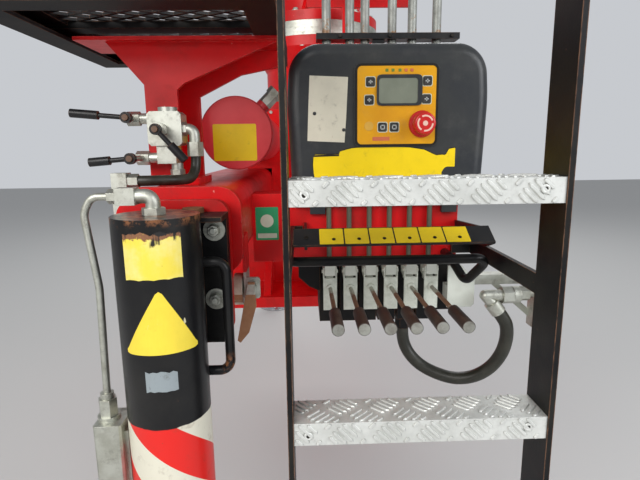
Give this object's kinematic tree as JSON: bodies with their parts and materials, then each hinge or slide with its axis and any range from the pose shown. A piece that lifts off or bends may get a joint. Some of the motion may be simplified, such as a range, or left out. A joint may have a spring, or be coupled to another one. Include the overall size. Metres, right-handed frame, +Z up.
{
  "type": "truck-mounted crane base unit with operator's control station",
  "caption": "Lower works of a truck-mounted crane: base and slewing gear, two sliding stabilisers with legs, lever bank, console, platform and ladder.",
  "frame": {"origin": "on the slewing axis, at the face that is bolted to the chassis", "axes": "+Z up along the slewing axis, +Y across the truck away from the operator, +X along the truck to its rear"},
  "size_m": [0.91, 2.5398, 1.58],
  "materials": {
    "red_paint": "gloss red paint, worn at the edges",
    "black_paint": "satin black paint, chipped, rust at the edges",
    "galvanised": "dull zinc plate",
    "bright_steel": "ground and chromed rod",
    "bright_aluminium": "bright chequer plate, scuffed",
    "console_plastic": "anthracite moulded plastic",
    "amber_panel": "amber front panel, blank",
    "display_glass": "grey-green display, off",
    "key_rubber": "dark rubber key",
    "stop_red": "gloss red plastic",
    "grip_rubber": "dark worn rubber",
    "lever_paint": "pale grey-green paint, rusty stick",
    "valve_black": "black oily casting",
    "hose_rubber": "olive dark hose cover",
    "pipe_grey": "light grey coated pipe, rust at the clamp",
    "cylinder_red": "faded red paint",
    "leg_paint": "black paint above, red and cream warning stripes below",
    "rod_olive": "olive-grey coated rod"
  },
  "bodies": {
    "root": {"crane_base": "red_paint", "beam_housing": "red_paint", "beam_lock": "galvanised", "slewing_cylinder": "cylinder_red", "slew_ring": "galvanised", "platform_post": "red_paint", "platform_frame": "black_paint", "platform_mesh": "black_paint", "control_bracket": "red_paint", "valve_bank": "valve_black", "valve_heads": "lever_paint", "valve_end_plate": "lever_paint", "label_strip": "black_paint", "guard_bar": "black_paint", "console_housing": "console_plastic", "console_panel": "amber_panel", "console_display": "display_glass", "console_keys": "key_rubber", "emergency_stop": "stop_red", "ladder_stiles": "black_paint", "ladder_steps": "bright_aluminium", "selector_valve": "galvanised", "selector_hose": "hose_rubber", "return_hose": "hose_rubber", "hose_bracket": "galvanised", "pressure_pipes": "pipe_grey", "pipe_supports": "black_paint", "pipe_bulkhead": "red_paint"},
    "column": {"slewing_head": "red_paint"},
    "lever_1_arm": {"lever_1": "lever_paint", "grip_1": "grip_rubber"},
    "pull_rod_1_slider": {"pull_rod_1": "rod_olive"},
    "lever_2_arm": {"lever_2": "lever_paint", "grip_2": "grip_rubber"},
    "pull_rod_2_slider": {"pull_rod_2": "rod_olive"},
    "lever_3_arm": {"lever_3": "lever_paint", "grip_3": "grip_rubber"},
    "pull_rod_3_slider": {"pull_rod_3": "rod_olive"},
    "lever_4_arm": {"lever_4": "lever_paint", "grip_4": "grip_rubber"},
    "pull_rod_4_slider": {"pull_rod_4": "rod_olive"},
    "lever_5_arm": {"lever_5": "lever_paint", "grip_5": "grip_rubber"},
    "pull_rod_5_slider": {"pull_rod_5": "rod_olive"},
    "lever_6_arm": {"lever_6": "lever_paint", "grip_6": "grip_rubber"},
    "pull_rod_6_slider": {"pull_rod_6": "rod_olive"},
    "selector_handle_1_lever": {"selector_handle_1": "black_paint"},
    "selector_handle_2_lever": {"selector_handle_2": "black_paint"},
    "selector_handle_3_lever": {"selector_handle_3": "black_paint"},
    "stabiliser_near": {"beam_near": "red_paint", "leg_tube_near": "leg_paint", "leg_bracket_near": "black_paint", "leg_pipe_near": "galvanised"},
    "ram_near": {"leg_ram_near": "bright_steel"},
    "stabiliser_far": {"beam_far": "red_paint", "leg_tube_far": "leg_paint", "leg_bracket_far": "black_paint", "leg_pipe_far": "galvanised"},
    "ram_far": {"leg_ram_far": "bright_steel"}
  },
  "joints": [
    {"name": "slewing", "type": "hinge", "parent": "root", "child": "column", "pos_m": [0, 0, 0.846], "axis": [0, 0, 1], "range_deg": [-200, 200]},
    {"name": "lever_1_tilt", "type": "hinge", "parent": "root", "child": "lever_1_arm", "pos_m": [-0.009, -0.875, 0.212], "axis": [1, 0, 0], "range_deg": [-10, 10]},
    {"name": "pull_rod_1_lift", "type": "slide", "parent": "root", "child": "pull_rod_1_slider", "axis": [0, 0, 1], "range_m": [-0.0034, 0.0034]},
    {"name": "lever_2_tilt", "type": "hinge", "parent": "root", "child": "lever_2_arm", "pos_m": [0.031, -0.875, 0.212], "axis": [1, 0, 0], "range_deg": [-10, 10]},
    {"name": "pull_rod_2_lift", "type": "slide", "parent": "root", "child": "pull_rod_2_slider", "axis": [0, 0, 1], "range_m": [-0.0034, 0.0034]},
    {"name": "lever_3_tilt", "type": "hinge", "parent": "root", "child": "lever_3_arm", "pos_m": [0.071, -0.875, 0.212], "axis": [1, 0, 0], "range_deg": [-10, 10]},
    {"name": "pull_rod_3_lift", "type": "slide", "parent": "root", "child": "pull_rod_3_slider", "axis": [0, 0, 1], "range_m": [-0.0034, 0.0034]},
    {"name": "lever_4_tilt", "type": "hinge", "parent": "root", "child": "lever_4_arm", "pos_m": [0.111, -0.875, 0.212], "axis": [1, 0, 0], "range_deg": [-10, 10]},
    {"name": "pull_rod_4_lift", "type": "slide", "parent": "root", "child": "pull_rod_4_slider", "axis": [0, 0, 1], "range_m": [-0.0034, 0.0034]},
    {"name": "lever_5_tilt", "type": "hinge", "parent": "root", "child": "lever_5_arm", "pos_m": [0.151, -0.875, 0.212], "axis": [1, 0, 0], "range_deg": [-10, 10]},
    {"name": "pull_rod_5_lift", "type": "slide", "parent": "root", "child": "pull_rod_5_slider", "axis": [0, 0, 1], "range_m": [-0.0034, 0.0034]},
    {"name": "lever_6_tilt", "type": "hinge", "parent": "root", "child": "lever_6_arm", "pos_m": [0.191, -0.875, 0.212], "axis": [1, 0, 0], "range_deg": [-10, 10]},
    {"name": "pull_rod_6_lift", "type": "slide", "parent": "root", "child": "pull_rod_6_slider", "axis": [0, 0, 1], "range_m": [-0.0034, 0.0034]},
    {"name": "selector_handle_1_turn", "type": "hinge", "parent": "root", "child": "selector_handle_1_lever", "pos_m": [-0.345, -0.977, 0.504], "axis": [0, 1, 0], "range_deg": [0, 60]},
    {"name": "selector_handle_2_turn", "type": "hinge", "parent": "root", "child": "selector_handle_2_lever", "pos_m": [-0.334, -1.005, 0.438], "axis": [0, 1, 0], "range_deg": [0, 60]},
    {"name": "selector_handle_3_turn", "type": "hinge", "parent": "root", "child": "selector_handle_3_lever", "pos_m": [-0.293, -0.997, 0.484], "axis": [0, 1, 0], "range_deg": [-90, 0]},
    {"name": "beam_near_slide", "type": "slide", "parent": "root", "child": "stabiliser_near", "axis": [0, -1, 0], "range_m": [0, 0.75]},
    {"name": "leg_near_lower", "type": "slide", "parent": "stabiliser_near", "child": "ram_near", "axis": [0, 0, -1], "range_m": [0, 0.6]},
    {"name": "beam_far_slide", "type": "slide", "parent": "root", "child": "stabiliser_far", "axis": [0, 1, 0], "range_m": [0, 0.75]},
    {"name": "leg_far_lower", "type": "slide", "parent": "stabiliser_far", "child": "ram_far", "axis": [0, 0, -1], "range_m": [0, 0.6]}
  ],
  "couplings": [
    {"joint": "pull_rod_1_lift", "follows": "lever_1_tilt", "m_per_rad": 0.019},
    {"joint": "pull_rod_2_lift", "follows": "lever_2_tilt", "m_per_rad": 0.019},
    {"joint": "pull_rod_3_lift", "follows": "lever_3_tilt", "m_per_rad": 0.019},
    {"joint": "pull_rod_4_lift", "follows": "lever_4_tilt", "m_per_rad": 0.019},
    {"joint": "pull_rod_5_lift", "follows": "lever_5_tilt", "m_per_rad": 0.019},
    {"joint": "pull_rod_6_lift", "follows": "lever_6_tilt", "m_per_rad": 0.019}
  ]
}
